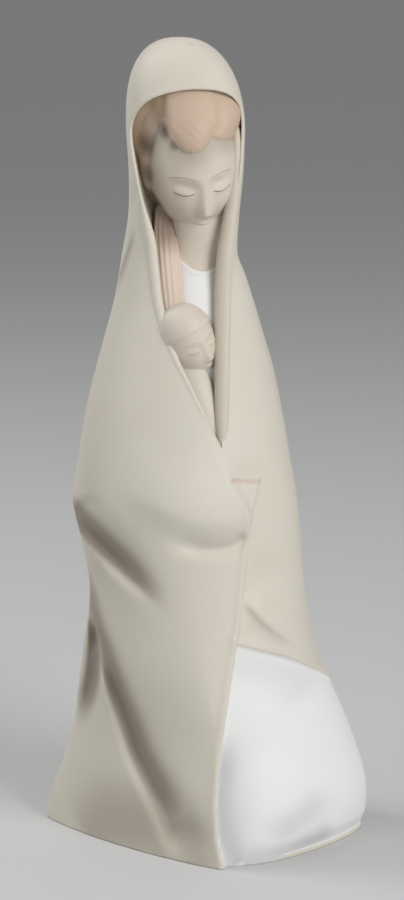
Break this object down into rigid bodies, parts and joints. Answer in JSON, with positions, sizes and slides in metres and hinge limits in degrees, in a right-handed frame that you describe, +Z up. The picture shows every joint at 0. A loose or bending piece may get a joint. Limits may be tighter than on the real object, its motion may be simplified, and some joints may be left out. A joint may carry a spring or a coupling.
{
  "type": "virgin and child statue",
  "caption": "Slender porcelain figure of a kneeling mother in a long veil and cloak, head bowed over a small child held at her chest, white dress showing over her knees.",
  "frame": {"origin": "centre of the bounding box on the flat underside, at floor level", "axes": "+Z up through the veil's crown; -Y towards the side the figure is shown from, with the face, child and cloak opening; +X to the side of the white dress over the knees"},
  "size_m": [0.1398, 0.1058, 0.34],
  "materials": {
    "porcelain": "matt, unglazed"
  },
  "bodies": {
    "root": {"virgin_and_child": "porcelain"}
  },
  "joints": []
}
